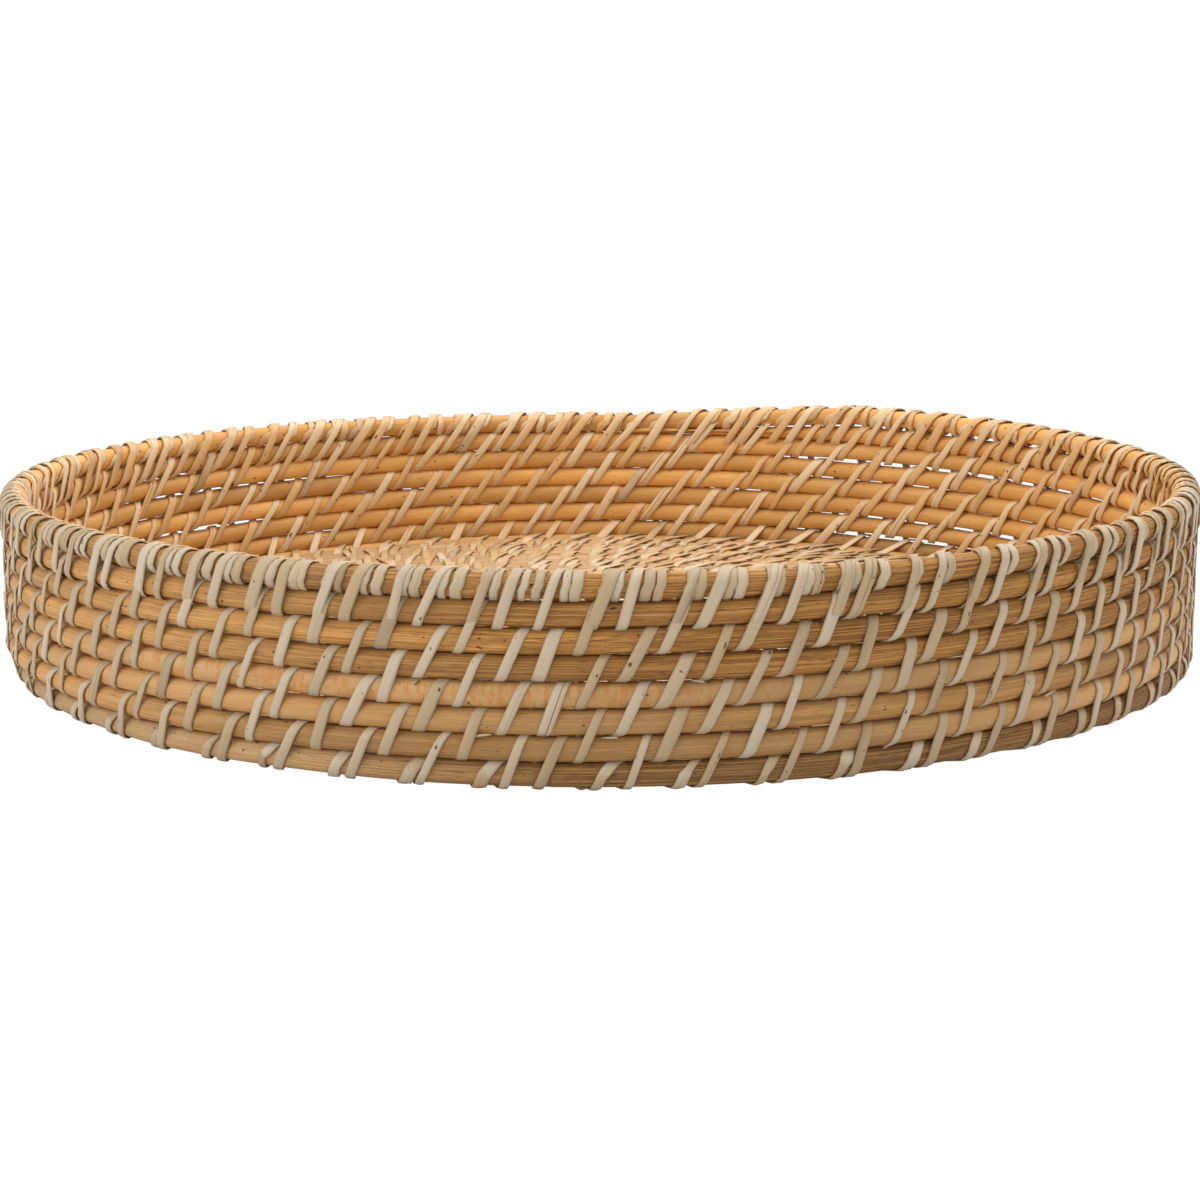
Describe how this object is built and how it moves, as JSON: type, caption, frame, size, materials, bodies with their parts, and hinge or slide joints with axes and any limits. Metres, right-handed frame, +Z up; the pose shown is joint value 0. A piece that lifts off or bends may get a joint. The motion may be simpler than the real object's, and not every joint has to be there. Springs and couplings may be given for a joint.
{
  "type": "winnowing basket",
  "caption": "Round winnowing basket of coiled rattan: a flat coiled floor and a low upright wall of stacked rods, lashed with peeled strands under a bound rim",
  "frame": {"origin": "centre of the round floor, on the plane of the table that the basket rests on", "axes": "+Z up out of the basket, -Y towards the front where the coil turns up into the wall, +X to the right"},
  "size_m": [0.4788, 0.4798, 0.0765],
  "materials": {
    "wall_rod": "satin",
    "foot_rod": "satin",
    "floor_rod": "matte",
    "strand": "satin"
  },
  "bodies": {
    "root": {"floor_coil_foot": "foot_rod", "floor_coil_outer": "floor_rod", "floor_coil_middle": "floor_rod", "floor_coil_inner": "floor_rod", "floor_coil_start": "floor_rod", "wall_coil_1": "wall_rod", "wall_coil_2": "wall_rod", "wall_coil_3": "wall_rod", "wall_coil_4": "wall_rod", "wall_coil_5": "wall_rod", "wall_coil_6": "wall_rod", "wall_coil_7": "wall_rod", "coil_tail": "wall_rod", "rim_hoop": "wall_rod", "wall_lashing_1": "strand", "wall_lashing_2": "strand", "wall_lashing_3": "strand", "wall_lashing_4": "strand", "wall_lashing_5": "strand", "wall_lashing_6": "strand", "rim_lashing": "strand"}
  },
  "joints": []
}
